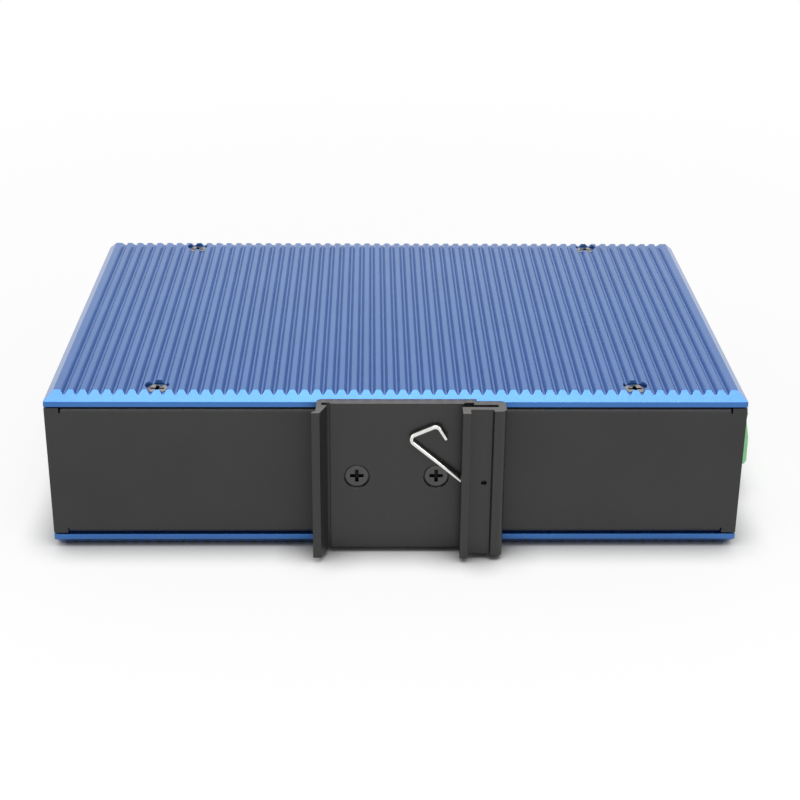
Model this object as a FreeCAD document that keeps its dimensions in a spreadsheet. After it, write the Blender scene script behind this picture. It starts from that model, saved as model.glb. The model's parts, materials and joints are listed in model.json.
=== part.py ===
# DIN rail ethernet switch: sheet steel box between two finned aluminium covers.
# Frame: +X towards the power terminal, +Y towards the ports, +Z up from the cover that it lies on.
# The origin is under the middle of the box, in the plane of the lower cover's ridges.
import FreeCAD, Part
import math
import os
import re
import Sketcher

SIZES = {
    # how far a cutting tool runs past a face
    "past": 1.0,
    # box and sheet
    "box_wid": 165.0,
    "box_dep": 110.0,
    "wall_ht": 33.0,
    "sheet": 1.0,
    "bend_rad": 1.2,
    "flange_wid": 9.0,
    "side_flange": 5.0,
    "relief_wid": 0.4,
    "relief_dep": 1.3,
    "relief_in": 3.8,
    "return_wid": 8.0,
    "return_in": 5.5,
    "panel_screw_in": 4.4,
    "panel_screw_z": 7.3,
    "fit_gap": 0.1,
    # finned covers
    "cov_thk": 3.5,
    "cov_edge": 1.3,
    "seat_ht": 0.4,
    "seat_in": 2.0,
    "groove_pitch": 2.88,
    "groove_in": 4.5,
    "groove_top": 1.75,
    "groove_bot": 0.4,
    "groove_dep": 0.9,
    # countersunk screws
    "screw_dia": 3.0,
    "tip_in": 0.15,
    "clip_tip": 1.25,
    "head_dia": 5.0,
    "head_in": 0.9,
    "sink_dia": 5.7,
    "sink_dep": 1.3,
    "hole_dia": 3.4,
    "cross_wid": 0.85,
    "cross_len": 3.2,
    "cross_dep": 1.0,
    "end_bevel": 0.4,
    "cov_screw_side": 26.1,
    "cov_screw_in": 5.0,
    "nut_flats": 5.5,
    "nut_ht": 1.6,
    "nut_play": 0.05,
    # rail clip
    "rail_wid": 35.0,
    "rail_play": 0.1,
    "rail_thk": 1.4,
    "clip_len": 38.0,
    "clip_pad": 2.6,
    "clip_land": 2.0,
    "pad_in": 1.85,
    "hook_wall": 1.2,
    "hook_lip": 1.2,
    "hook_flare": 1.0,
    "hook_lead": 0.5,
    "hook_out": 7.9,
    "hook_face": 1.9,
    "mouth_play": 0.4,
    "slot_low": 3.2,
    "slot_high": 4.5,
    "slot_len": 5.7,
    "flap_thk": 1.4,
    "lip_in": 2.4,
    "lip_wid": 1.9,
    "lip_out": 8.2,
    "bar_wid": 3.0,
    "bar_out": 7.0,
    "bar_rad": 1.4,
    "end_wall": 1.7,
    "clip_step": 1.1,
    "step_x": 18.6,
    "corner_rad": 1.5,
    "small_rad": 0.5,
    "clip_screw_x": 9.4,
    "clip_head_dia": 5.4,
    "clip_head_in": 0.5,
    "clip_sink_dia": 6.1,
    "clip_sink_dep": 0.9,
    # wire spring
    "wire_dia": 1.1,
    "wire_bend": 1.3,
    "tail_bend": 0.65,
    "tail_play": 0.1,
    "anchor_in": 3.1,
    "tail_in": 0.9,
    "elbow_x": 3.5,
    "elbow_z": 1.8,
    "nose_x": 18.2,
    "nose_z": 10.7,
    "crown_x": 11.0,
    "crown_z": 13.9,
    "tip_x": 8.9,
    "tip_z": 10.5,
    # circuit board
    "board_gap": 1.9,
    "board_thk": 1.6,
    "board_in": 1.5,
    "post_flats": 5.0,
    "post_side": 12.5,
    "post_in": 6.0,
    "board_front": 0.5,
    "pan_dia": 5.4,
    "pan_ht": 1.8,
    "pan_edge": 0.7,
    "panel_screw_len": 5.0,
    # ports
    "jack_num": 4,
    "jack_wid": 15.9,
    "jack_pitch": 16.2,
    "jack_dep": 24.0,
    "jack_out": 0.6,
    "jack_x": -66.0,
    "port_wid": 11.9,
    "port_ht": 8.2,
    "port_dep": 15.0,
    "port_low": 2.8,
    "latch_wid": 6.2,
    "latch_ht": 1.7,
    "cage_num": 4,
    "cage_wid": 14.4,
    "cage_pitch": 15.8,
    "cage_ht": 10.0,
    "cage_dep": 47.0,
    "cage_wall": 0.4,
    "cage_x": 4.0,
    "cage_lift": 0.5,
    "cut_play": 0.3,
    "light_dia": 2.4,
    "light_num": 4,
    "light_pitch": 4.6,
    "light_len": 12.0,
    "light_out": 0.3,
    "light_side": 11.0,
    # terminal block
    "pole_num": 6,
    "pole_pitch": 5.08,
    "plug_rear": 28.0,
    "plug_end": 0.8,
    "plug_ht": 15.8,
    "plug_out": 8.0,
    "plug_back": 2.2,
    "plug_low": 0.2,
    "plug_foot": 0.5,
    "plug_lean": 0.1,
    "plug_slope_ht": 8.2,
    "plug_waist": 1.0,
    "plug_waist_ht": 3.3,
    "plug_brow": 0.7,
    "plug_brow_ht": 1.5,
    "plug_crown": 2.2,
    "plug_play": 0.3,
    "tongue_len": 8.0,
    "tongue_ht": 7.0,
    "header_wall": 1.0,
    "header_len": 11.5,
    "pin_wid": 1.0,
    "pin_len": 6.0,
    "socket_wid": 2.4,
    "socket_bore": 1.2,
    "bar_thk": 0.8,
    "bar_strip": 2.2,
    "clamp_in": 4.5,
    "cage_len": 4.2,
    "cage_side": 3.8,
    "cage_tall": 6.2,
    "cage_floor": 0.8,
    "clamp_wall": 0.6,
    "cage_top": 2.2,
    "cage_travel": 2.0,
    "clamp_play": 0.2,
    "clamp_dia": 3.0,
    "clamp_head_dia": 3.8,
    "clamp_head_ht": 1.8,
    "clamp_slot": 0.6,
    "clamp_slot_dep": 0.9,
    "shoulder": 2.0,
    "thread_play": 0.05,
    "entry_wid": 3.4,
    "entry_ht": 2.9,
    "entry_low": 0.3,
    "funnel": 0.25,
    # parts on the board
    "chip_wid": 23.0,
    "chip_thk": 1.5,
    "pad_wid": 21.0,
    "chip_x": -20.0,
    "chip_rear": 55.0,
    "cpu_wid": 15.0,
    "cpu_thk": 2.0,
    "cpu_pad": 0.8,
    "cpu_x": -20.0,
    "cpu_rear": 25.0,
    "block_wid": 24.0,
    "cap_dia": 10.0,
    "cap_ht": 16.0,
    "cap_x": 48.0,
    "cap_rear": 17.0,
    "cap_pitch": 12.0,
    "coil_wid": 12.0,
    "coil_ht": 7.0,
    "coil_x": 30.0,
    "coil_rear": 25.0,
}

# Planes and distances that several pieces share, as expressions of the sizes.
BASE = "(cov_thk+seat_ht)"
BOX_HT = "(2*(cov_thk+seat_ht)+wall_ht)"
MID = "(cov_thk+seat_ht+wall_ht/2)"
HALF_X = "(box_wid/2)"
HALF_Y = "(box_dep/2)"
BEVEL = "(cov_thk-cov_edge)"
REAR_SPAN = "(box_wid/2-relief_in)"
BEND_ENDS = [f"{i}({REAR_SPAN}+relief_wid/2)" for i in ("-", "")]
BOARD_LOW = "(cov_thk+seat_ht+sheet+board_gap)"
BOARD_TOP = "(cov_thk+seat_ht+sheet+board_gap+board_thk)"
GROOVES = "(2*floor((box_wid/2-groove_in)/groove_pitch)+1)"
GROOVE_ROW = f"(groove_pitch*({GROOVES}-1))"
COV_SCREW_X = "(box_wid/2-cov_screw_side)"
COV_SCREW_Y = "(box_dep/2-cov_screw_in)"
POST_X = "(box_wid/2-post_side)"
POST_Y = "(box_dep/2-post_in)"
LIGHT_X = "(box_wid/2-light_side)"
PANEL_IN = "(box_dep/2-sheet)"

doc = FreeCAD.newDocument("ethernet_switch")
sheet = doc.addObject("Spreadsheet::Sheet", "Sizes")
for row, (word, value) in enumerate(SIZES.items(), start=1):
    sheet.set(f"A{row}", word)
    sheet.set(f"B{row}", str(value))
    sheet.setAlias(f"B{row}", word)
doc.recompute()
nodes = []


def bound(text):
    """An expression with each size's name written as a cell of the sheet."""
    return re.sub(r"[a-z_]{3,}", lambda word: "Sizes." + word[0] if word[0] in SIZES else word[0], text)


def bind(thing, **texts):
    for name, text in texts.items():
        thing.setExpression(name.replace("__", "."), bound(text))


def value(word):
    return float(sheet.get(word))


def keep(thing, label):
    """Names a sub-part that gets a file of its own."""
    thing.Label = label
    nodes.append(thing)
    return thing


# Sketches and PartDesign features


def new_body(name):
    return doc.addObject("PartDesign::Body", name)


def new_sketch(body, role, lift="0"):
    drawing = body.newObject("Sketcher::SketchObject", body.Name + "_sketch")
    plane = [item for item in body.Origin.OriginFeatures if item.Role == role][0]
    drawing.AttachmentSupport = [(plane, "")]
    drawing.MapMode = "FlatFace"
    drawing.setExpression("AttachmentOffset.Base.z", bound(lift))
    return drawing


def pin_point(drawing, geometry, point, x, y):
    for kind, text in (("DistanceX", x), ("DistanceY", y)):
        place = drawing.addConstraint(Sketcher.Constraint(kind, -1, 1, geometry, point, 1.0))
        drawing.setExpression(f"Constraints[{place}]", bound(text))


def draw_polygon(drawing, points):
    """A closed outline whose corners are pinned to expressions of the sizes."""
    first = drawing.GeometryCount
    count = len(points)
    turn = 2 * math.pi / count
    start = [FreeCAD.Vector(math.cos(turn * k), math.sin(turn * k), 0) for k in range(count)]
    for k in range(count):
        drawing.addGeometry(Part.LineSegment(start[k], start[(k + 1) % count]), False)
    for k in range(count):
        drawing.addConstraint(Sketcher.Constraint("Coincident", first + k, 2, first + (k + 1) % count, 1))
    for k, (x, y) in enumerate(points):
        pin_point(drawing, first + k, 1, x, y)


def draw_box(drawing, xs, ys):
    draw_polygon(drawing, [(xs[0], ys[0]), (xs[1], ys[0]), (xs[1], ys[1]), (xs[0], ys[1])])


def draw_circle(drawing, x, y, diameter):
    centre = FreeCAD.Vector(1, 1, 0)
    place = drawing.addGeometry(Part.Circle(centre, FreeCAD.Vector(0, 0, 1), 1), False)
    pin_point(drawing, place, 3, x, y)
    size = drawing.addConstraint(Sketcher.Constraint("Diameter", place, 2.0))
    drawing.setExpression(f"Constraints[{size}]", bound(diameter))


def add_pad(body, drawing, length, down=False):
    feature = body.newObject("PartDesign::Pad", body.Name + "_pad")
    feature.Profile = drawing
    feature.Reversed = down
    bind(feature, Length=length)
    doc.recompute()
    return feature


def add_pocket(body, drawing, length=None, taper=0.0, midplane=False):
    feature = body.newObject("PartDesign::Pocket", body.Name + "_pocket")
    feature.Profile = drawing
    if length is None:
        feature.Type = "ThroughAll"
    else:
        feature.Type = "Length"
        bind(feature, Length=length)
    feature.TaperAngle = taper
    feature.Midplane = midplane
    doc.recompute()
    return feature


def add_row(body, original, axis_role, length, count):
    """A linear pattern of one feature."""
    feature = body.newObject("PartDesign::LinearPattern", body.Name + "_row")
    feature.Originals = [original]
    axis = [item for item in body.Origin.OriginFeatures if item.Role == axis_role][0]
    feature.Direction = (axis, [""])
    bind(feature, Length=length, Occurrences=count)
    body.Tip = feature
    doc.recompute()
    return feature


def edges_where(shape, test):
    return [f"Edge{k}" for k, edge in enumerate(shape.Edges, start=1) if test(edge)]


def at(edge, **wanted):
    """True if every point of an edge has the wanted coordinates."""
    box = edge.BoundBox
    lows = {"x": box.XMin, "y": box.YMin, "z": box.ZMin}
    highs = {"x": box.XMax, "y": box.YMax, "z": box.ZMax}
    return all(abs(lows[k] - w) < 1e-4 and abs(highs[k] - w) < 1e-4 for k, w in wanted.items())


def add_fillet(body, base, names, radius, kind="PartDesign::Fillet"):
    feature = body.newObject(kind, body.Name + "_edge")
    feature.Base = (base, names)
    if kind == "PartDesign::Fillet":
        bind(feature, Radius=radius)
    else:
        bind(feature, Size=radius)
    doc.recompute()
    return feature


# Part primitives


def block(name, xs, ys, zs):
    """A box between two expressions along each axis."""
    solid = doc.addObject("Part::Box", name)
    bind(solid, Length=f"{xs[1]}-({xs[0]})", Width=f"{ys[1]}-({ys[0]})", Height=f"{zs[1]}-({zs[0]})")
    bind(solid, Placement__Base__x=xs[0], Placement__Base__y=ys[0], Placement__Base__z=zs[0])
    return solid


def rod(name, x, y, zs, diameter):
    """A vertical cylinder."""
    solid = doc.addObject("Part::Cylinder", name)
    bind(solid, Radius=f"({diameter})/2", Height=f"{zs[1]}-({zs[0]})")
    bind(solid, Placement__Base__x=x, Placement__Base__y=y, Placement__Base__z=zs[0])
    return solid


def fuse(name, pieces):
    solid = doc.addObject("Part::MultiFuse", name)
    solid.Shapes = pieces
    return solid


def cut(name, base, tools):
    solid = doc.addObject("Part::Cut", name)
    solid.Base = base
    solid.Tool = tools[0] if len(tools) == 1 else fuse(name + "_tools", tools)
    return solid


def group(label, pieces):
    """Identical pieces that stay separate solids of one sub-part."""
    solid = doc.addObject("Part::Compound", label)
    solid.Links = pieces
    return keep(solid, label)


def copies(label, original, places, rotation=None):
    """One sub-part made of copies of a piece, each at its own place."""
    links = []
    for k, (x, y, z) in enumerate(places):
        link = doc.addObject("App::Link", f"{label}_{k + 1}")
        link.LinkedObject = original
        link.Placement = FreeCAD.Placement(FreeCAD.Vector(), rotation or FreeCAD.Rotation())
        bind(link, Placement__Base__x=x, Placement__Base__y=y, Placement__Base__z=z)
        links.append(link)
    return group(label, links)


def screw_seats(body, plane, top, centres, bore, depth, head, sunk):
    """Counterbores, each with a cone for a countersunk head and a clearance hole."""
    bores = new_sketch(body, plane, top)
    cones = new_sketch(body, plane, f"{top}-{depth}")
    holes = new_sketch(body, plane, top)
    cone = f"({head}-2*({depth}-{sunk}))"
    for x, y in centres:
        draw_circle(bores, x, y, bore)
        draw_circle(cones, x, y, cone)
        draw_circle(holes, x, y, "hole_dia")
    add_pocket(body, bores, depth)
    add_pocket(body, cones, f"({cone}-hole_dia)/2", taper=-45.0)
    add_pocket(body, holes)


# Finned covers

CORNERS = [(f"{i}{COV_SCREW_X}", f"{j}{COV_SCREW_Y}") for i in ("-", "") for j in ("-", "")]


def finned_cover(label):
    """Plate with bevelled edges and a row of V grooves; its seat side is at z = 0."""
    body = keep(new_body(label), label)
    plan = new_sketch(body, "XY_Plane")
    draw_box(plan, ("-" + HALF_X, HALF_X), ("-" + HALF_Y, HALF_Y))
    plate = add_pad(body, plan, "cov_thk")
    rim = edges_where(plate.Shape, lambda edge: at(edge, z=value("cov_thk")))
    add_fillet(body, plate, rim, BEVEL, "PartDesign::Chamfer")
    seat = new_sketch(body, "XY_Plane")
    seat_x, seat_y = f"({HALF_X}-seat_in)", f"({HALF_Y}-seat_in)"
    draw_box(seat, ("-" + seat_x, seat_x), ("-" + seat_y, seat_y))
    add_pad(body, seat, "seat_ht", down=True)
    groove = new_sketch(body, "XZ_Plane")
    first = f"-{GROOVE_ROW}/2"
    slope = "(groove_top-groove_bot)/2/groove_dep"
    above = "1"
    half_top = f"(groove_top/2+{slope}*{above})"
    draw_polygon(groove, [
        (f"{first}-{half_top}", f"cov_thk+{above}"),
        (f"{first}-groove_bot/2", "cov_thk-groove_dep"),
        (f"{first}+groove_bot/2", "cov_thk-groove_dep"),
        (f"{first}+{half_top}", f"cov_thk+{above}"),
    ])
    valley = add_pocket(body, groove, midplane=True)
    add_row(body, valley, "X_Axis", GROOVE_ROW, GROOVES)
    screw_seats(body, "XY_Plane", "cov_thk", CORNERS, "sink_dia", "sink_dep", "head_dia", "head_in")
    return body


top_cover = finned_cover("top_cover")
bind(top_cover, Placement__Base__z=BOX_HT + "-cov_thk")
bottom_cover = finned_cover("bottom_cover")
bottom_cover.Placement = FreeCAD.Placement(FreeCAD.Vector(), FreeCAD.Rotation(FreeCAD.Vector(1, 0, 0), 180))
bind(bottom_cover, Placement__Base__z="cov_thk")


# Cross recess screws


def turned_body(name, outline):
    """A body turned about Z from half its outline."""
    body = new_body(name)
    half = new_sketch(body, "XZ_Plane")
    draw_polygon(half, outline)
    turned = body.newObject("PartDesign::Revolution", name + "_turned")
    turned.Profile = half
    turned.ReferenceAxis = (half, ["V_Axis"])
    doc.recompute()
    return body


def cross_recess(body, top):
    cross = new_sketch(body, "XY_Plane", top)
    long, short = "cross_len/2", "cross_wid/2"
    draw_polygon(cross, [
        (long, "-" + short), (long, short), (short, short), (short, long),
        ("-" + short, long), ("-" + short, short), ("-" + long, short), ("-" + long, "-" + short),
        ("-" + short, "-" + short), ("-" + short, "-" + long), (short, "-" + long), (short, "-" + short),
    ])
    add_pocket(body, cross, "cross_dep")


def countersunk_screw(name, head, length):
    """A screw along Z whose head's flat top is at z = 0."""
    body = turned_body(name, [
        ("0", "0"),
        (f"{head}/2", "0"),
        ("screw_dia/2", f"-({head}-screw_dia)/2"),
        ("screw_dia/2", f"-{length}+end_bevel"),
        ("screw_dia/2-end_bevel", f"-{length}"),
        ("0", f"-{length}"),
    ])
    cross_recess(body, "0")
    return body


cover_screw = countersunk_screw("cover_screw", "head_dia", "(cov_thk-head_in+seat_ht+sheet+nut_ht-tip_in)")
copies("top_cover_screws", cover_screw, [(x, y, f"{BOX_HT}-head_in") for x, y in CORNERS])
upside_down = FreeCAD.Rotation(FreeCAD.Vector(1, 0, 0), 180)
copies("bottom_cover_screws", cover_screw, [(x, y, "head_in") for x, y in CORNERS], upside_down)


# Sheet housing: rear wall, two end walls, and flanges under the covers


def flange_pair(body, xs, ys):
    """Flanges of one wall, under both covers."""
    for low in (BASE, f"{BASE}+wall_ht-sheet"):
        plan = new_sketch(body, "XY_Plane", low)
        draw_box(plan, xs, ys)
        add_pad(body, plan, "sheet")


def relief_slots(body, role, places, far):
    """Short slots down the wall from both flanges, where the bend ends."""
    drawing = new_sketch(body, role, far)
    for middle in places:
        span = (f"{middle}-relief_wid/2", f"{middle}+relief_wid/2")
        draw_box(drawing, span, (f"{BASE}-past", f"{BASE}+relief_dep"))
        draw_box(drawing, span, (f"{BASE}+wall_ht-relief_dep", f"{BASE}+wall_ht+past"))
    add_pocket(body, drawing, "sheet+past")


def round_bends(body, wanted):
    """Rounds the outer edges of the bends, each at a fixed place on two axes."""
    base = body.Tip
    names = []
    for places, along, low, high in wanted:
        for k, edge in enumerate(base.Shape.Edges, start=1):
            box = edge.BoundBox
            span = {"x": (box.XMin, box.XMax), "y": (box.YMin, box.YMax)}[along]
            if at(edge, **places) and span[0] > low and span[1] < high:
                names.append(f"Edge{k}")
    add_fillet(body, base, names, "bend_rad")


def sheet_housing():
    body = keep(new_body("housing"), "housing")
    plan = new_sketch(body, "XY_Plane", BASE)
    front = f"({PANEL_IN}-fit_gap)"
    draw_polygon(plan, [
        ("-" + HALF_X, front), ("-" + HALF_X, "-" + HALF_Y), (HALF_X, "-" + HALF_Y), (HALF_X, front),
        (f"{HALF_X}-sheet", front), (f"{HALF_X}-sheet", f"-({HALF_Y}-sheet)"),
        (f"-({HALF_X}-sheet)", f"-({HALF_Y}-sheet)"), (f"-({HALF_X}-sheet)", front),
    ])
    add_pad(body, plan, "wall_ht")
    inner = f"-({HALF_Y}-sheet/2)"
    flange_pair(body, (f"-{REAR_SPAN}", REAR_SPAN), (inner, f"-({HALF_Y}-flange_wid)"))
    side_low = f"-({HALF_Y}-flange_wid-relief_wid)"
    side_high = f"({HALF_Y}-flange_wid-relief_wid)"
    flange_pair(body, (f"-({HALF_X}-sheet/2)", f"-({HALF_X}-side_flange)"), (side_low, side_high))
    flange_pair(body, (f"{HALF_X}-side_flange", f"{HALF_X}-sheet/2"), (side_low, side_high))
    relief_slots(body, "XZ_Plane", BEND_ENDS, f"{HALF_Y}+past/2")
    ends = [f"({side_low}-relief_wid/2)", f"({side_high}+relief_wid/2)"]
    relief_slots(body, "YZ_Plane", ends, f"{HALF_X}+past/2")
    relief_slots(body, "YZ_Plane", ends, f"-{HALF_X}+sheet+past/2")
    half_x, half_y = value("box_wid") / 2, value("box_dep") / 2
    low = value("cov_thk") + value("seat_ht")
    high = low + value("wall_ht")
    span_x = half_x - value("relief_in") + 0.1
    span_y = half_y - value("flange_wid") - value("relief_wid") + 0.1
    wanted = [({"y": -half_y, "z": z}, "x", -span_x, span_x) for z in (low, high)]
    wanted += [({"x": x, "z": z}, "y", -span_y, span_y) for z in (low, high) for x in (-half_x, half_x)]
    round_bends(body, wanted)
    # opening for the power plug
    opening = new_sketch(body, "YZ_Plane", f"{HALF_X}+past/2")
    draw_box(opening, (f"{PLUG_Y[0]}-plug_play", f"{PLUG_Y[1]}+plug_play"),
             (f"{PLUG_Z[0]}-plug_play", f"{PLUG_Z[1]}+plug_play"))
    add_pocket(body, opening, "sheet+past")
    # front returns of the end walls, which carry the panel
    returns = new_sketch(body, "XZ_Plane", f"-{front}")
    tall = (f"{BASE}+return_in", f"{BASE}+wall_ht-return_in")
    draw_box(returns, (f"-({HALF_X}-sheet/2)", f"-({HALF_X}-return_wid)"), tall)
    draw_box(returns, (f"{HALF_X}-return_wid", f"{HALF_X}-sheet/2"), tall)
    add_pad(body, returns, "sheet")
    return_holes = new_sketch(body, "XZ_Plane", f"-({front}-sheet-past/2)")
    for x, z in PANEL_SCREWS:
        draw_circle(return_holes, x, z, "hole_dia")
    add_pocket(body, return_holes, "sheet+past")
    # screw holes of the clip and of the cover flanges
    rear_holes = new_sketch(body, "XZ_Plane", f"{HALF_Y}+past/2")
    for x, z in CLIP_SCREWS:
        draw_circle(rear_holes, x, z, "hole_dia")
    add_pocket(body, rear_holes, "sheet+past")
    flange_holes = new_sketch(body, "XY_Plane", BOX_HT)
    for x, y in CORNERS[0], CORNERS[2]:
        draw_circle(flange_holes, x, y, "hole_dia")
    add_pocket(body, flange_holes)
    return body


CLIP_SCREWS = [(i + "clip_screw_x", MID) for i in ("-", "")]
PANEL_SCREW_X = f"({HALF_X}-panel_screw_in)"
PANEL_SCREWS = [(i + PANEL_SCREW_X, f"{MID}{j}panel_screw_z") for i in ("-", "") for j in ("-", "+")]
PLUG_Y = (f"(plug_rear-{HALF_Y})", f"(plug_rear-{HALF_Y}+pole_num*pole_pitch+2*plug_end)")
PLUG_Z = (f"({BOARD_TOP}+plug_low)", f"({BOARD_TOP}+plug_low+plug_ht)")
sheet_housing()


# Front panel: a plate over the box's open side, with flanges under the covers

JACK_Z = (BOARD_TOP, f"({BASE}+wall_ht-sheet-nut_ht-cut_play)")
CAGE_Z = (f"({BOARD_TOP}+cage_lift)", f"({BOARD_TOP}+cage_lift+cage_ht)")


def jack_low_x(k):
    return f"(jack_x+{k}*jack_pitch)"


def cage_low_x(k):
    return f"(cage_x+{k}*cage_pitch)"


def front_panel():
    body = keep(new_body("front_panel"), "front_panel")
    face = new_sketch(body, "XZ_Plane", f"-{HALF_Y}")
    draw_box(face, ("-" + HALF_X, HALF_X), (BASE, f"{BASE}+wall_ht"))
    add_pad(body, face, "sheet")
    flange_pair(body, (f"-{REAR_SPAN}", REAR_SPAN), (f"{HALF_Y}-flange_wid", f"{HALF_Y}-sheet/2"))
    relief_slots(body, "XZ_Plane", BEND_ENDS, f"-{HALF_Y}+sheet+past/2")
    half_y = value("box_dep") / 2
    low = value("cov_thk") + value("seat_ht")
    high = low + value("wall_ht")
    span_x = value("box_wid") / 2 - value("relief_in") + 0.1
    round_bends(body, [({"y": half_y, "z": z}, "x", -span_x, span_x) for z in (low, high)])
    cuts = new_sketch(body, "XZ_Plane", f"-{HALF_Y}+sheet+past/2")
    draw_box(cuts, (f"jack_x-cut_play", f"{jack_low_x('(jack_num-1)')}+jack_wid+cut_play"),
             (f"{JACK_Z[0]}-cut_play", f"{JACK_Z[1]}+cut_play"))
    for k in range(int(value("cage_num"))):
        draw_box(cuts, (f"{cage_low_x(k)}-cut_play", f"{cage_low_x(k)}+cage_wid+cut_play"),
                 (f"{CAGE_Z[0]}-cut_play", f"{CAGE_Z[1]}+cut_play"))
    for k in range(int(value("light_num"))):
        draw_circle(cuts, LIGHT_X, f"{MID}+({k}-(light_num-1)/2)*light_pitch", "light_dia+0.1")
    for x, z in PANEL_SCREWS:
        draw_circle(cuts, x, z, "hole_dia")
    add_pocket(body, cuts, "sheet+past")
    # holes for the cover screws
    holes = new_sketch(body, "XY_Plane", BOX_HT)
    for x, y in CORNERS[1], CORNERS[3]:
        draw_circle(holes, x, y, "hole_dia")
    add_pocket(body, holes)


front_panel()


# Rail clip: an extrusion along Z, drawn in X and in the distance out from the rear wall

RAIL_HALF = "(rail_wid/2)"
GROOVE_X = f"({RAIL_HALF}+rail_play)"
MOUTH_X = f"({RAIL_HALF}+mouth_play)"
SLOT_X = f"({MOUTH_X}+slot_len)"
OUTER_X = f"({SLOT_X}+end_wall)"
LIP_X = f"({RAIL_HALF}-lip_in)"
FLAP_OUT = "(slot_high+flap_thk)"
ANCHOR_X = f"({SLOT_X}-anchor_in)"
PAD_X = f"({RAIL_HALF}-pad_in)"


def rail_clip():
    body = keep(new_body("din_clip"), "din_clip")
    hook_x = f"({GROOVE_X}+hook_wall)"
    corners = {
        "back_left": (f"-{hook_x}", "0", "corner_rad"),
        "flare_start": (f"-{hook_x}", "hook_out-hook_lead-hook_flare", None),
        "flare_end": (f"-({hook_x}+hook_flare)", "hook_out-hook_lead", None),
        "hook_front": (f"-({hook_x}+hook_flare)", "hook_out", None),
        "hook_inner": (f"-({hook_x}+hook_flare-hook_face)", "hook_out", None),
        "tip_front": (f"-({GROOVE_X}-hook_lip)", "clip_land+rail_thk+hook_lead", None),
        "tip_back": (f"-({GROOVE_X}-hook_lip)", "clip_land+rail_thk", None),
        "groove_front": (f"-{GROOVE_X}", "clip_land+rail_thk", None),
        "groove_back": (f"-{GROOVE_X}", "clip_land", None),
        "land_left": (f"-{PAD_X}", "clip_land", None),
        "pad_left": (f"-{PAD_X}", "clip_pad", None),
        "pad_right": (PAD_X, "clip_pad", None),
        "land_right": (PAD_X, "clip_land", None),
        "mouth_back": (MOUTH_X, "clip_land", None),
        "mouth_edge": (MOUTH_X, "slot_low", None),
        "slot_back": (SLOT_X, "slot_low", "small_rad"),
        "slot_front": (SLOT_X, "slot_high", "small_rad"),
        "lip_back": (LIP_X, "slot_high", None),
        "lip_front": (LIP_X, "lip_out", None),
        "lip_outer": (f"{LIP_X}+lip_wid", "lip_out", None),
        "flap_left": (f"{LIP_X}+lip_wid", FLAP_OUT, "small_rad"),
        "flap_right": (f"{OUTER_X}-bar_wid", FLAP_OUT, "small_rad"),
        "bar_left": (f"{OUTER_X}-bar_wid", "bar_out", "small_rad"),
        "bar_right": (OUTER_X, "bar_out", "bar_rad"),
        "back_right": (OUTER_X, "clip_step", "corner_rad"),
        "step_high": ("step_x", "clip_step", None),
        "step_low": ("step_x", "0", None),
    }
    profile = new_sketch(body, "XY_Plane", f"{MID}-clip_len/2")
    draw_polygon(profile, [(x, f"-({out})") for x, out, radius in corners.values()])
    bar = add_pad(body, profile, "clip_len")
    for radius in ("corner_rad", "bar_rad", "small_rad"):
        wanted = [k for k, corner in enumerate(corners.values()) if corner[2] == radius]
        places = [profile.getPoint(k, 1) for k in wanted]
        names = edges_where(bar.Shape, lambda edge: any(at(edge, x=p.x, y=p.y) for p in places))
        bar = add_fillet(body, bar, names, radius)
    screw_seats(body, "XZ_Plane", "clip_pad", CLIP_SCREWS, "clip_sink_dia", "clip_sink_dep",
                "clip_head_dia", "clip_head_in")
    anchor = new_sketch(body, "XZ_Plane", f"{FLAP_OUT}+past/2")
    draw_circle(anchor, ANCHOR_X, MID, "wire_dia+2*tail_play")
    add_pocket(body, anchor, f"{FLAP_OUT}+past/2-(slot_low+slot_high)/2")
    bind(body, Placement__Base__y="-" + HALF_Y)


rail_clip()
clip_screw = countersunk_screw("clip_screw", "clip_head_dia", "(clip_pad-clip_head_in+sheet+nut_ht+clip_tip)")
outward = FreeCAD.Rotation(FreeCAD.Vector(1, 0, 0), 90)
CLIP_SEAT = f"-({HALF_Y}+clip_pad-clip_head_in)"
copies("clip_screws", clip_screw, [(x, CLIP_SEAT, z) for x, z in CLIP_SCREWS], outward)


# Hexagonal nuts: under the cover flanges, and behind the rear wall for the clip

def hex_nut(name, flats, length):
    """A six-sided nut or post along Z, measured across its flats."""
    body = doc.addObject("Part::Prism", name + "_outer")
    bind(body, Circumradius=f"{flats}/sqrt(3)", Height=length)
    bore = rod(name + "_bore", "0", "0", ("-past", f"{length}+past"), "screw_dia+2*nut_play")
    return cut(name, body, [bore])


def clinch_nuts():
    nut = hex_nut("clinch_nut", "nut_flats", "nut_ht")
    low, high = f"{BASE}+sheet", f"{BASE}+wall_ht-sheet-nut_ht"
    copies("clinch_nuts", nut, [(x, y, z) for x, y in CORNERS for z in (low, high)])
    behind = f"-({HALF_Y}-sheet)+nut_ht"
    copies("clip_nuts", nut, [(x, behind, z) for x, z in CLIP_SCREWS], outward)
    panel = f"{PANEL_IN}-fit_gap-sheet"
    copies("panel_nuts", nut, [(x, panel, z) for x, z in PANEL_SCREWS], outward)


clinch_nuts()


# Rail spring: one bent wire, turning in the anchor hole of the clip's flap


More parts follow.
